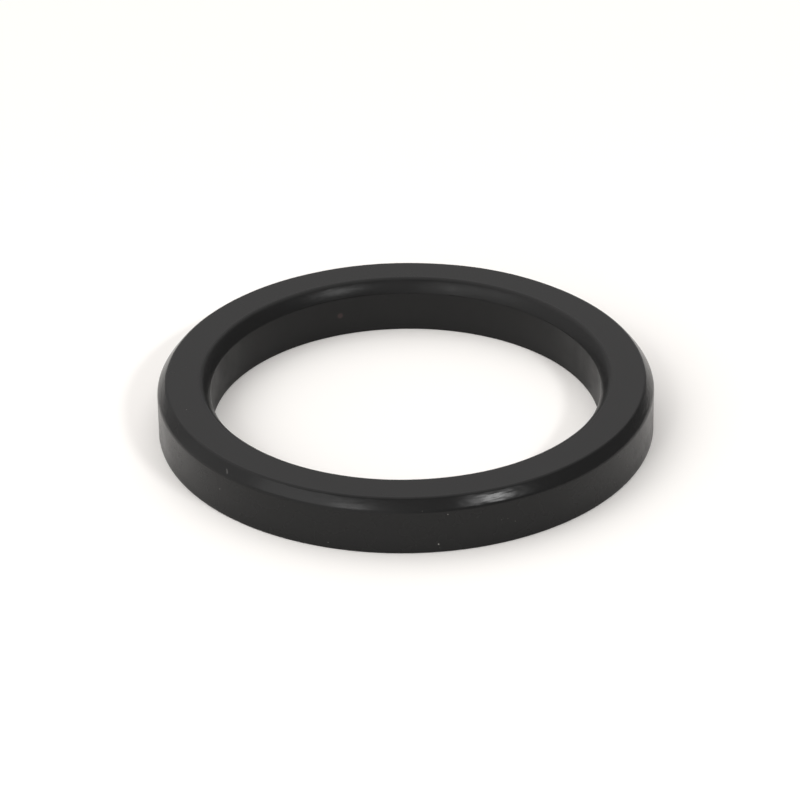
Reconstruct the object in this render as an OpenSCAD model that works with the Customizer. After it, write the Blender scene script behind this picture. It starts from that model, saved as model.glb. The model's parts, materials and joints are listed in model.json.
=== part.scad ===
// Group head gasket: one moulded rubber ring that seals a filter holder against its group head.
// It lies flat side down on z = 0, with its axis on Z and its two bevels round the top face.

/* [Ring] */
// Outside diameter of the ring
outer_diameter = 73; // [66:0.5:80]
// Width of the ring, from its bore to its outside
ring_width = 7.9; // [6:0.1:12]
// Height from the seating face to the top face
height = 8.3; // [6:0.1:12]

/* [Bevels round the top face] */
// Width of the outer bevel, seen from above
outer_bevel_width = 1.35; // [1:0.05:2]
// Depth of the outer bevel, below the top face
outer_bevel_depth = 1.65; // [1.3:0.05:2.4]
// Width of the bore's bevel, seen from above
bore_bevel_width = 1.25; // [1:0.05:2]
// Depth of the bore's bevel, below the top face
bore_bevel_depth = 1.95; // [1.3:0.05:2.4]

/* [Softened edges] */
// Radius of the edge between the outer bevel and the top face
outer_top_radius = 0.7; // [0.2:0.05:1.5]
// Radius of the edge between the outer bevel and the outside wall
outer_wall_radius = 1.05; // [0.2:0.05:1.5]
// Radius of the edge between the bore's bevel and the top face
bore_top_radius = 1.2; // [0.2:0.05:1.5]
// Radius of the edge between the bore's bevel and the bore's wall
bore_wall_radius = 1.1; // [0.2:0.05:1.5]
// Radius of the small edges round the seating face
seat_edge_radius = 0.2; // [0.1:0.05:0.5]

/* [Hidden] */

outer_radius = outer_diameter / 2;
bore_radius = outer_radius - ring_width;

// Sharp corners of the section, as [radius, height], anticlockwise from the foot of the bore
corners = [
    [bore_radius, 0],
    [outer_radius, 0],
    [outer_radius, height - outer_bevel_depth],
    [outer_radius - outer_bevel_width, height],
    [bore_radius + bore_bevel_width, height],
    [bore_radius, height - bore_bevel_depth]
];

// Radius that rounds each corner, in the same order
corner_radii = [
    seat_edge_radius,
    seat_edge_radius,
    outer_wall_radius,
    outer_top_radius,
    bore_top_radius,
    bore_wall_radius
];

// How far each rounding circle crosses the sides that it blends, so that no sliver is left where they touch
crossing = 0.0001;

// How far the cutter of a corner reaches from its circle's centre, as a share of what it has to clear
cutter_reach = 1.3;

function unit(v) = v / norm(v);

// Takes the tip off the corner of an outline, up to the circle that touches both of the corner's sides.
module corner_cutter(before, corner, after, radius) {
    to_before = unit(before - corner);
    to_after = unit(after - corner);
    half_angle = acos(to_before * to_after) / 2;
    touch_length = radius / tan(half_angle);
    centre = corner + unit(to_before + to_after) * radius / sin(half_angle);
    // Arms from the circle's centre to where it touches the sides, and to the corner between them
    arms = [to_before * touch_length, [0, 0], to_after * touch_length];
    difference() {
        polygon([centre, for (arm = arms) centre + (corner + arm - centre) * cutter_reach]);
        translate(centre) circle(r = radius + crossing, $fn = 96);
    }
}

// The ring's section: a flat-footed block with two bevels at the top, and all its corners rounded.
module ring_section() {
    count = len(corners);
    difference() {
        polygon(corners);
        for (i = [0 : count - 1])
            corner_cutter(corners[(i + count - 1) % count], corners[i], corners[(i + 1) % count],
                          corner_radii[i]);
    }
}

// The whole gasket: its section turned about the Z axis.
module gasket_ring() {
    color("#2e2d2d")
        rotate_extrude($fn = 240)
            ring_section();
}

gasket_ring();
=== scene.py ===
import json
from math import cos, pi, radians, sin

import bpy
import numpy as np
from mathutils import Matrix, Vector


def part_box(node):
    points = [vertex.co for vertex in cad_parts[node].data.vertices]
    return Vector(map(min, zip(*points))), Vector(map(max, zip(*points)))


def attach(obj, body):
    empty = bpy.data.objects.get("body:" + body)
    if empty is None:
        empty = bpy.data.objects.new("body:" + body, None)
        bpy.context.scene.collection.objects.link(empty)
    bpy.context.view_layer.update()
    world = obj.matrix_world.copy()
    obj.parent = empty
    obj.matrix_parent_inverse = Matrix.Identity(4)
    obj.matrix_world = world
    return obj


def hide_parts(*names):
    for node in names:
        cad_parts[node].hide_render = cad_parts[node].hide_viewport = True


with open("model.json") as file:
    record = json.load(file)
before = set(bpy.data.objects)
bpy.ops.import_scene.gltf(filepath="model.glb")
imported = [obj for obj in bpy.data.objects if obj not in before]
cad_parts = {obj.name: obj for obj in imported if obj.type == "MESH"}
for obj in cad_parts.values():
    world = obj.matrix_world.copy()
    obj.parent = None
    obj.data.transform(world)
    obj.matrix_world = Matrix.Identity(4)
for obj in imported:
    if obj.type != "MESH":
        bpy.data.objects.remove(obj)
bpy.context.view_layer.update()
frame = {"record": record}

MM = 0.001

# Section of the ring

_, ring_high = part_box("gasket_ring")
mounts = {mount["name"]: mount for mount in frame["record"]["mounts"]}

OUTER_RADIUS = ring_high.x
HEIGHT = ring_high.z
BORE_RADIUS = mounts["bore"]["dims"]["r_mm"] * MM
SEAT_EDGE_RADIUS = 0.2 * MM

# Each bevel is slightly crowned. inset is how far in from the wall the flat top face begins, slopes are
# those of the crown at its foot and its top (0 is upright like the wall, 90 is flat like the top face),
# and radii are those of the soft edges below and above the crown.

OUTER_BEVEL = {"inset": 1.68 * MM, "slopes": (36.5, 42.5), "radii": (1.05 * MM, 0.7 * MM)}
BORE_BEVEL = {"inset": 1.92 * MM, "slopes": (25.0, 41.0), "radii": (1.1 * MM, 1.2 * MM)}

# Mesh of the ring: the steps in each round part of the section and across the seat, and the spacing of
# the rest

SEAT_EDGE_STEPS = 4
SOFT_EDGE_STEPS = 9
CROWN_STEPS = 14
SEAT_STEPS = 7
WALL_SPACING = 0.45 * MM
FACE_SPACING = 0.3 * MM
TURN_SPACING = 0.33 * MM

# Relief that the mould and the trimming left on the bevels, and slow waves on everything above the seat.
# Each layer is a height, the shortest wave round the ring, the usual wave across the section and a seed.

RELIEF_LAYERS = [
    {"height": 0.0025 * MM, "around": 1.6 * MM, "across": 0.9 * MM, "seed": 0},
    {"height": 0.0008 * MM, "around": 4.0 * MM, "across": 0.3 * MM, "seed": 1},
]
SLOW_WAVES = {"height": 0.012 * MM, "around": 18.0 * MM, "across": 9.0 * MM, "seed": 7}
SLOW_WAVES_RISE = 2 * MM
COSINES_IN_LAYER = 48

# Nicks in the outer bevel: the azimuth and height of the middle, how the azimuth changes with the height
# in degrees per millimetre and per square millimetre, half the length, half the width, the depth, and how
# far its painted highlight pales the rubber, a paler colour that stands in for the light its side catches

NICKS = [
    {"azimuth": 225.3, "height": 7.24 * MM, "lean": -1.6, "bow": -1.8,
     "reach": 0.22 * MM, "width": 0.08 * MM, "depth": 0.02 * MM, "nick_painted_highlight": 0.25},
    {"azimuth": 227.1, "height": 7.0 * MM, "lean": -2.0, "bow": 0.0,
     "reach": 0.12 * MM, "width": 0.08 * MM, "depth": 0.03 * MM, "nick_painted_highlight": 0.0},
]

# The parts of its reach over which a nick fades out at its ends, and how much of a distance round the
# ring is square on to a nick, since they lean

NICK_FADE = (1.3, 0.7)
NICK_SQUARE_ON = 0.75

# The azimuths between which the columns of the mesh lie closer, for the nicks, their spacing there, and
# the angle in radians that the usual columns keep from them

NICK_WINDOW = (224.0, 228.0)
NICK_SPACING = 0.045 * MM
NICK_CLEARANCE = 0.004

# Marks on the rubber, in millimetres: the place of each, its radius and how strong it is

PALE_SPECKS = [
    ((4.24, -36.25, 1.34), 0.13, 1.0),
    ((4.02, -36.28, 1.80), 0.06, 0.4),
    ((4.42, -36.24, 0.72), 0.06, 0.4),
    ((5.56, -36.07, 6.06), 0.12, 0.45),
    ((2.01, -36.31, 6.80), 0.10, 0.3),
    ((-26.49, -25.11, 4.03), 0.10, 0.6),
    ((13.04, -34.09, 3.85), 0.10, 0.2),
    ((13.95, -33.73, 3.82), 0.09, 0.25),
    ((15.00, -33.28, 3.10), 0.10, 0.3),
    ((-11.13, -34.76, 0.94), 0.09, 0.3),
    ((-31.68, -9.89, 8.30), 0.12, 0.3),
]
BROWN_SPECKS = [((-9.88, 26.84, 3.44), 0.62, 0.17)]
SMUDGES = [
    ((1.86, 30.82, 8.30), 0.7, 0.5),
    ((0.80, 31.32, 8.30), 0.5, 0.4),
    ((0.85, 32.81, 8.30), 0.6, 0.4),
]

# The part of its radius within which a mark is at full strength, and what a full smudge adds to the
# roughness

MARK_CORE = 0.35
SMUDGE_ROUGHNESS = 0.15

# Roughness of the rubber in each zone of the mould. The outer bevel is the most polished, and the core
# that forms the bore's wall the least. In each, patches four millimetres across are rougher or smoother
# by up to PATCH_STRENGTH times that, as their noise runs over PATCH_NOISE.

FACE_ROUGHNESS = 0.24
OUTER_BEVEL_ROUGHNESS = 0.22
OUTER_WALL_ROUGHNESS = 0.27
BORE_BEVEL_ROUGHNESS = 0.35
BORE_WALL_ROUGHNESS = 0.42
PATCH_SIZE = 4 * MM
PATCH_STRENGTH = 0.15
PATCH_NOISE = (0.3, 0.7)

# Slopes, in degrees, where a zone begins and where it is in full: a wall, down from its bevel, and the
# outer bevel, down from the top face. The last pair is for both bevels, and is measured from upright or
# from flat, whichever is nearer.

WALL_BLEND = (16, 0)
FACE_BLEND = (82, 62)
BEVEL_BLEND = (8, 28)

# Grain of the mould's steel, pressed into the rubber

GRAIN_SIZE = 0.25 * MM
GRAIN_HEIGHT = 0.0015 * MM

# How much light the rubber reflects where it is seen straight on, on the shader's own scale. The skin of
# rubber that is full of carbon black reflects little.

SPECULAR = 0.165

# Board under the ring: half its side, and how far it lies below the seat, so that the two never coincide

BOARD_HALF = 3.0
BOARD_GAP = 0.02 * MM

# Camera: a view from the front, 30 degrees above the board and turned by less than a degree

VIEW_TILT = radians(29.80)
VIEW_ROLL = radians(-0.76)
VIEW_DISTANCE = 524.0 * MM
VIEW_ASIDE = 0.858 * MM
VIEW_BELOW = 3.25 * MM
VIEW_NEAREST = 10 * MM
SENSOR_WIDTH = 36.0
LENS = 159.43

# Light of the studio: the levels of its left wall, the wall behind and its foot, its ceiling and the
# rest, and where the smooth steps between them run, in parts of a unit vector towards them. The rises and
# the left wall's top are measured upwards, the start of what is behind and the left wall's end towards
# the back, and the others to the right.

LEFT_LEVEL = 1.04
WALL_LEVEL = 0.65
FOOT_LEVEL = 0.35
CEILING_LEVEL = 1.36
DIM_LEVEL = 0.17
FOOT_RISE = (-0.05, 0.35)
CEILING_RISE = (0.42, 0.64)
BEHIND_START = (-0.3, 0.0)
RIGHT_END = (0.78, 0.35)
LEFT_START = (0.35, -0.25)
LEFT_TOP = (0.9, 0.7)
LEFT_END = (0.7, 0.25)

# Lamps: the azimuth (0 is +X, 90 is +Y) and elevation in degrees that each shines from, its distance,
# width and height in metres, and how bright it looks from the ring

LAMPS = [
    {"name": "key", "azimuth": -48, "elevation": 40, "distance": 1.0,
     "width": 0.22, "height": 0.07, "radiance": 54},
    {"name": "front_left", "azimuth": -138, "elevation": 38, "distance": 1.2,
     "width": 0.95, "height": 0.55, "radiance": 1.7},
    {"name": "second", "azimuth": -118, "elevation": 38, "distance": 1.0,
     "width": 0.16, "height": 0.12, "radiance": 8},
]


def linear(hex_colour):
    """An sRGB hex colour as a linear RGBA value: each channel is undone by the sRGB curve."""
    srgb = np.array([int(hex_colour[i:i + 2], 16) for i in (1, 3, 5)]) / 255
    rgb = np.where(srgb <= 0.04045, srgb / 12.92, ((srgb + 0.055) / 1.055) ** 2.4)
    return (*rgb.tolist(), 1.0)


def arc(radius, first, last, steps):
    """An arc from (0, 0): its surface turns from slope first to slope last, in degrees, upright to flat.

    A surface of slope s faces cos(s) outward and sin(s) up, so the arc runs through
    (cos(s) - cos(first), sin(s) - sin(first)) * radius. Returns its points as (outward, up), and its slopes.
    """
    slope = np.radians(np.linspace(first, last, steps + 1))
    facing = np.stack([np.cos(slope), np.sin(slope)], axis=1)
    return radius * (facing - facing[0]), slope


def bevelled_side(inset, slopes, radii):
    """One side of the section as (inset, height, slope) rows, up from its foot and round to the top face.

    After the small edge at the foot come the wall, the soft edge below the bevel, the crown, and the soft
    edge above it. All touch without a kink. From slope a to slope b, an arc goes radius * (cos(a) - cos(b))
    inwards. The crown's radius is the one with which its arc and the two soft edges go inwards by the inset,
    and the wall takes the height that is left.
    """
    foot, top = slopes
    below, above = radii
    foot_cosine, top_cosine = np.cos(np.radians(slopes))
    crown = (inset - below * (1 - foot_cosine) - above * top_cosine) / (foot_cosine - top_cosine)
    parts = [
        arc(SEAT_EDGE_RADIUS, -90, 0, SEAT_EDGE_STEPS),
        arc(below, 0, foot, SOFT_EDGE_STEPS),
        arc(crown, foot, top, CROWN_STEPS),
        arc(above, top, 90, SOFT_EDGE_STEPS),
    ]
    wall = HEIGHT - sum(points[-1, 1] for points, slope in parts)
    steps = round(wall / WALL_SPACING)
    parts.insert(1, (np.linspace((0, 0), (0, wall), steps + 1), np.zeros(steps + 1)))
    rows = []
    at = (SEAT_EDGE_RADIUS, 0)
    for points, slope in parts:
        rows.append(np.column_stack([points * (-1, 1) + at, slope]))
        at = rows[-1][-1, :2]
    return np.concatenate([rows[0]] + [row[1:] for row in rows[1:]])


def ring_section():
    """The ring's section as (radius, height, slope) rows, anticlockwise from the foot of the outside."""
    outer = bevelled_side(**OUTER_BEVEL)
    bore = bevelled_side(**BORE_BEVEL)
    outer[:, 0] = OUTER_RADIUS - outer[:, 0]
    bore[:, 0] = BORE_RADIUS + bore[:, 0]
    face_steps = round((outer[-1, 0] - bore[-1, 0]) / FACE_SPACING)
    face = np.linspace(outer[-1], bore[-1], face_steps + 1)[1:-1]
    seat = np.linspace(bore[0], outer[0], SEAT_STEPS + 1)[1:-1]
    return np.concatenate([outer, face, bore[::-1], seat])


def grid_faces(rows, columns):
    """Quads over a grid of points that closes on itself both ways, with point (i, j) at i * columns + j."""
    i, j = np.meshgrid(np.arange(rows), np.arange(columns), indexing="ij")
    next_i, next_j = (i + 1) % rows, (j + 1) % columns
    corners = [i * columns + j, next_i * columns + j, next_i * columns + next_j, i * columns + next_j]
    return np.stack(corners, axis=-1).reshape(-1, 4)


def smoothstep(low, high, value):
    """0 at low, 1 at high, level beyond them, and the smooth cubic 3 t^2 - 2 t^3 between them."""
    t = np.clip((value - low) / (high - low), 0, 1)
    return t * t * (3 - 2 * t)


def ripples(angle, across, layer):
    """Irregular waves from 0 up, a sum of cosines cos(n * angle + k * across + shift) of the layer's height.

    n is a whole number, so that the waves close round the ring, and runs up to the circumference over the
    shortest wave. k is spread normally about 0, with 2 pi over the usual wave across as its spread.
    """
    chance = np.random.default_rng(layer["seed"])
    most = 2 * pi * OUTER_RADIUS / layer["around"]
    round_ring = chance.uniform(-most, most, COSINES_IN_LAYER).round()
    over_section = chance.normal(0, 2 * pi / layer["across"], COSINES_IN_LAYER)
    shifts = chance.uniform(0, 2 * pi, COSINES_IN_LAYER)
    waves = 0
    for n, k, shift in zip(round_ring, over_section, shifts):
        waves = waves + np.cos(n * angle + k * across + shift)
    waves = layer["height"] * waves / np.sqrt(COSINES_IN_LAYER / 2)
    return waves - waves.min()


def nick_depth(angle, height, nick):
    """How deep a nick is at each point: depth * exp(-(distance / width)^2) from a leaning, bowed line.

    The line's azimuth is azimuth + lean * rise + bow * rise^2, and its depth fades out where the rise
    passes reach.
    """
    rise = height - nick["height"]
    azimuth = nick["azimuth"] + nick["lean"] * rise / MM + nick["bow"] * (rise / MM) ** 2
    distance = (angle - np.radians(azimuth)) * OUTER_RADIUS * NICK_SQUARE_ON
    fade = smoothstep(*NICK_FADE, np.abs(rise) / nick["reach"])
    return nick["depth"] * np.exp(-(distance / nick["width"]) ** 2) * fade


def turn_angles():
    """The angles of the mesh's columns: even round the ring, and much closer in the window of the nicks."""
    columns = round(2 * pi * OUTER_RADIUS / TURN_SPACING)
    even = np.arange(columns) * 2 * pi / columns
    first, last = np.radians(NICK_WINDOW)
    close = np.linspace(first, last, round((last - first) * OUTER_RADIUS / NICK_SPACING))
    outside = (even < first - NICK_CLEARANCE) | (even > last + NICK_CLEARANCE)
    return np.sort(np.concatenate([even[outside], close]))


def bevel_share(height, slope):
    """How far each point is on a bevel: a smooth step of how far its slope is from upright or flat.

    The nearer of the two counts, and it is 0 in the lower half, where the small edges at the seat are.
    """
    degrees = np.degrees(slope)
    return smoothstep(*BEVEL_BLEND, np.minimum(degrees, 90 - degrees)) * (height > HEIGHT / 2)


def rubber_finish(height, slope, outer_side, on_bevel):
    """The roughness at each point: the top face's, moved towards each zone's own by the share of that zone.

    The shares are smooth steps of the slope. The outer bevel's gives way to its wall's, and the seat
    keeps the top face's roughness.
    """
    degrees = np.degrees(slope)
    on_wall = smoothstep(*WALL_BLEND, degrees)
    finish = FACE_ROUGHNESS
    for roughness, share in (
        (OUTER_BEVEL_ROUGHNESS, smoothstep(*FACE_BLEND, degrees) * (1 - on_wall) * outer_side),
        (OUTER_WALL_ROUGHNESS, on_wall * outer_side),
        (BORE_BEVEL_ROUGHNESS, on_bevel * ~outer_side),
        (BORE_WALL_ROUGHNESS, on_wall * ~outer_side),
    ):
        finish = finish + (roughness - FACE_ROUGHNESS) * share * (height > 0)
    return finish


def moulding(angle, radius, height, outer_side, on_bevel):
    """How far each point is sunk below its nominal place, and how far a nick's painted highlight pales it.

    It is sunk by the sum of the relief, as far as it is on a bevel, the slow waves, which fade in above
    the seat, and the nicks, on the outer bevel. Its painted highlight is each nick's own times how much of
    its depth it has there: a paler colour that stands in for the light the nick's side catches.
    """
    steps = np.hypot(np.diff(radius[:, 0], prepend=radius[0]), np.diff(height[:, 0], prepend=height[0]))
    across = np.cumsum(steps)[:, None]
    sunk = 0
    for layer in RELIEF_LAYERS:
        sunk = sunk + ripples(angle, across, layer) * on_bevel
    sunk = sunk + ripples(angle, across, SLOW_WAVES) * smoothstep(0, SLOW_WAVES_RISE, height)
    nick_painted_highlight = 0
    for nick in NICKS:
        depth = nick_depth(angle, height, nick) * on_bevel * outer_side
        sunk = sunk + depth
        nick_painted_highlight = nick_painted_highlight + nick["nick_painted_highlight"] * depth / nick["depth"]
    return sunk, nick_painted_highlight


def gasket_ring():
    """The ring: its section carried round the Z axis, with point (i, j) at section row i, turned by angle j.

    Every point is sunk along the section's normal (cos(slope), sin(slope)), so that the ring never passes
    its nominal outline. Its attribute finish is the roughness of the rubber, and its second attribute is
    how far a nick is painted paler, a painted highlight for the light the nick's side catches.
    """
    radius, height, slope = ring_section().T[:, :, None]
    angle = turn_angles()
    outer_side = radius > (OUTER_RADIUS + BORE_RADIUS) / 2
    on_bevel = bevel_share(height, slope)
    finish = rubber_finish(height, slope, outer_side, on_bevel)
    sunk, nick_painted_highlight = moulding(angle, radius, height, outer_side, on_bevel)
    outward = np.where(outer_side, 1, -1) * np.cos(slope)
    radius = radius - sunk * outward
    height = height - sunk * np.sin(slope)
    points = np.stack([radius * np.cos(angle), radius * np.sin(angle), height], axis=-1)
    mesh = bpy.data.meshes.new("gasket_ring_moulded")
    mesh.from_pydata(points.reshape(-1, 3), [], grid_faces(*points.shape[:2]))
    mesh.shade_smooth()
    for name, value in (("finish", finish), ("nick_painted_highlight", nick_painted_highlight)):
        attribute = mesh.attributes.new(name, "FLOAT", "POINT")
        values = np.broadcast_to(value, points.shape[:2]).ravel().astype(np.float32)
        attribute.data.foreach_set("value", values)
    ring = bpy.data.objects.new("gasket_ring_moulded", mesh)
    bpy.context.scene.collection.objects.link(ring)
    return ring


def add_node(tree, kind, inputs=(), **settings):
    """Adds a node of that kind: settings are its properties, and inputs gives sockets a value or a link."""
    node = tree.nodes.new(kind)
    for name, value in settings.items():
        setattr(node, name, value)
    for socket, value in dict(inputs).items():
        if isinstance(value, bpy.types.NodeSocket):
            tree.links.new(value, node.inputs[socket])
        else:
            node.inputs[socket].default_value = value
    return node


def empty_material(name):
    """A material whose node tree has nothing in it yet."""
    material = bpy.data.materials.new(name)
    material.use_nodes = True
    material.node_tree.nodes.clear()
    return material


def spots(tree, place, marks):
    """How strongly each point is marked, by the strongest mark near it. Each fades out at its radius."""
    strongest = 0.0
    for centre, radius, strength in marks:
        distance = add_node(tree, "ShaderNodeVectorMath", {0: place, 1: [x * MM for x in centre]},
                            operation="DISTANCE").outputs["Value"]
        mark = add_node(tree, "ShaderNodeMapRange", {
            "Value": distance, "From Min": MARK_CORE * radius * MM, "From Max": radius * MM,
            "To Min": strength, "To Max": 0.0,
        }, interpolation_type="SMOOTHSTEP").outputs["Result"]
        strongest = add_node(tree, "ShaderNodeMath", {0: mark, 1: strongest}, operation="MAXIMUM").outputs[0]
    return strongest


def tinted(tree, colour, amount, tint):
    """That colour, mixed towards the tint by the amount, through the node's colour sockets 6, 7 and 2."""
    mix = add_node(tree, "ShaderNodeMix", {0: amount, 6: colour, 7: tint}, data_type="RGBA")
    return mix.outputs[2]


def moulded_nitrile_rubber():
    """Nitrile rubber filled with carbon black and pressed in a polished steel mould.

    The filler makes it near black all through. The mould leaves it satin, a little glossier on the outer
    bevel and duller in the bore, with a grain of a quarter millimetre that breaks up highlights. Dust
    sits on it as pale specks, a nick is painted paler as a painted highlight where its side catches the
    light, and finger marks are a little duller.
    """
    material = empty_material("moulded_nitrile_rubber")
    tree = material.node_tree
    place = add_node(tree, "ShaderNodeTexCoord").outputs["Object"]
    finish, nick_painted_highlight = [add_node(tree, "ShaderNodeAttribute", attribute_name=name).outputs["Fac"]
                     for name in ("finish", "nick_painted_highlight")]
    smudge = spots(tree, place, SMUDGES)

    colour = linear("#1e1e1e")
    for amount, tint in (
        # painted highlight: the nick is paled where its side catches the light
        (nick_painted_highlight, "#9a9a98"),
        (spots(tree, place, PALE_SPECKS), "#a3a19c"),
        (spots(tree, place, BROWN_SPECKS), "#745a58"),
    ):
        colour = tinted(tree, colour, amount, linear(tint))

    grain = add_node(tree, "ShaderNodeTexNoise", {"Vector": place, "Scale": 1 / GRAIN_SIZE, "Detail": 2.0})
    patches = add_node(tree, "ShaderNodeTexNoise", {"Vector": place, "Scale": 1 / PATCH_SIZE, "Detail": 3.0})
    patchy = add_node(tree, "ShaderNodeMapRange", {
        "Value": patches.outputs["Fac"], "From Min": PATCH_NOISE[0], "From Max": PATCH_NOISE[1],
        "To Min": 1 - PATCH_STRENGTH, "To Max": 1 + PATCH_STRENGTH,
    }).outputs["Result"]
    roughness = add_node(tree, "ShaderNodeMath", {0: finish, 1: patchy}, operation="MULTIPLY").outputs[0]
    roughness = add_node(tree, "ShaderNodeMath", {0: smudge, 1: SMUDGE_ROUGHNESS, 2: roughness},
                         operation="MULTIPLY_ADD").outputs[0]
    bump = add_node(tree, "ShaderNodeBump", {
        "Height": grain.outputs["Fac"], "Distance": GRAIN_HEIGHT, "Strength": 1.0,
    })
    shader = add_node(tree, "ShaderNodeBsdfPrincipled", {
        "Base Color": colour,
        "Roughness": roughness,
        "IOR": 1.5,
        "Specular IOR Level": SPECULAR,
        "Normal": bump.outputs["Normal"],
    })
    add_node(tree, "ShaderNodeOutputMaterial", {"Surface": shader.outputs["BSDF"]})
    return material


def matt_white_painted_board():
    """Board painted matt white, a touch warm: white where the light is full, and warm grey in shadow."""
    material = empty_material("matt_white_painted_board")
    tree = material.node_tree
    board = add_node(tree, "ShaderNodeBsdfDiffuse", {"Color": linear("#fefcf9")})
    add_node(tree, "ShaderNodeOutputMaterial", {"Surface": board.outputs[0]})
    return material


def add_floor():
    """A square of white board, far wider than any view."""
    corners = [(x * BOARD_HALF, y * BOARD_HALF, -BOARD_GAP) for x, y in ((-1, -1), (1, -1), (1, 1), (-1, 1))]
    mesh = bpy.data.meshes.new("board")
    mesh.from_pydata(corners, [], [(0, 1, 2, 3)])
    mesh.materials.append(matt_white_painted_board())
    board = bpy.data.objects.new("board", mesh)
    bpy.context.scene.collection.objects.link(board)


def add_world():
    """The studio's light: walls behind and on the left, a brighter ceiling, and dim elsewhere.

    The camera itself sees white all round. The wall behind grows brighter from its foot up to the
    ceiling, which reaches to just in front of the zenith. Both stop short of the right. The left wall is
    brighter, begins where the one behind fades, and goes on round the front. Each of the two is a product
    of smooth steps, times how far its level is above the dim one, and the brighter of them counts.
    """
    world = bpy.data.worlds.new("studio")
    world.use_nodes = True
    tree = world.node_tree
    tree.nodes.clear()
    direction = add_node(tree, "ShaderNodeTexCoord").outputs["Generated"]
    x, y, z = add_node(tree, "ShaderNodeSeparateXYZ", {0: direction}).outputs

    def step(value, low, high):
        return add_node(tree, "ShaderNodeMapRange", {"Value": value, "From Min": low, "From Max": high},
                        interpolation_type="SMOOTHSTEP").outputs["Result"]

    def calculate(operation, first, second):
        return add_node(tree, "ShaderNodeMath", {0: first, 1: second}, operation=operation).outputs[0]

    wall = add_node(tree, "ShaderNodeMapRange", {
        "Value": step(z, *FOOT_RISE), "To Min": FOOT_LEVEL - DIM_LEVEL, "To Max": WALL_LEVEL - DIM_LEVEL,
    }).outputs["Result"]
    ceiling = calculate("MULTIPLY", step(z, *CEILING_RISE), CEILING_LEVEL - WALL_LEVEL)
    behind = calculate("MULTIPLY", step(y, *BEHIND_START), step(x, *RIGHT_END))
    behind = calculate("MULTIPLY", behind, calculate("ADD", wall, ceiling))
    left = calculate("MULTIPLY", step(x, *LEFT_START), step(z, *LEFT_TOP))
    left = calculate("MULTIPLY", left, step(y, *LEFT_END))
    left = calculate("MULTIPLY", left, LEFT_LEVEL - DIM_LEVEL)
    level = calculate("ADD", calculate("MAXIMUM", behind, left), DIM_LEVEL)
    seen = add_node(tree, "ShaderNodeLightPath").outputs["Is Camera Ray"]
    strength = calculate("MAXIMUM", level, seen)
    sky = add_node(tree, "ShaderNodeBackground", {"Color": linear("#fffdfc"), "Strength": strength})
    add_node(tree, "ShaderNodeOutputWorld", {"Surface": sky.outputs[0]})
    bpy.context.scene.world = world


def add_softbox(name, azimuth, elevation, distance, width, height, radiance):
    """A lamp of that width and height that faces the ring from that azimuth, elevation and distance.

    Its power is radiance * pi * area, so that it looks that bright from the ring.
    """
    a, e = radians(azimuth), radians(elevation)
    towards = Vector((cos(e) * cos(a), cos(e) * sin(a), sin(e)))
    lamp = bpy.data.lights.new(name, "AREA")
    lamp.shape = "RECTANGLE"
    lamp.size = width
    lamp.size_y = height
    lamp.energy = radiance * pi * width * height
    holder = bpy.data.objects.new(name, lamp)
    holder.location = towards * distance
    holder.rotation_mode = "QUATERNION"
    holder.rotation_quaternion = (-towards).to_track_quat("-Z", "Y")
    holder.visible_camera = False
    bpy.context.scene.collection.objects.link(holder)


def add_camera():
    """The camera: VIEW_DISTANCE from the middle of the foot, VIEW_TILT above the board, turned by VIEW_ROLL.

    It is also moved left by VIEW_ASIDE and up, square to its view, by VIEW_BELOW, so that the ring lies
    that much right of and below the middle of the picture.
    """
    camera = bpy.data.cameras.new("camera")
    camera.sensor_width = SENSOR_WIDTH
    camera.lens = LENS
    camera.clip_start = VIEW_NEAREST
    holder = bpy.data.objects.new("camera", camera)
    turn = Matrix.Rotation(pi / 2 - VIEW_TILT, 4, "X") @ Matrix.Rotation(VIEW_ROLL, 4, "Z")
    away = Vector((0, -cos(VIEW_TILT), sin(VIEW_TILT))) * VIEW_DISTANCE
    up = Vector((0, sin(VIEW_TILT), cos(VIEW_TILT))) * VIEW_BELOW
    aside = Vector((-VIEW_ASIDE, 0, 0))
    holder.matrix_world = Matrix.Translation(away + up + aside) @ turn
    bpy.context.scene.collection.objects.link(holder)
    bpy.context.scene.camera = holder


ring = gasket_ring()
ring.data.materials.append(moulded_nitrile_rubber())
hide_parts("gasket_ring")
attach(ring, "root")

add_floor()
add_world()
for lamp in LAMPS:
    add_softbox(**lamp)
add_camera()

bpy.context.scene.view_settings.view_transform = "Standard"
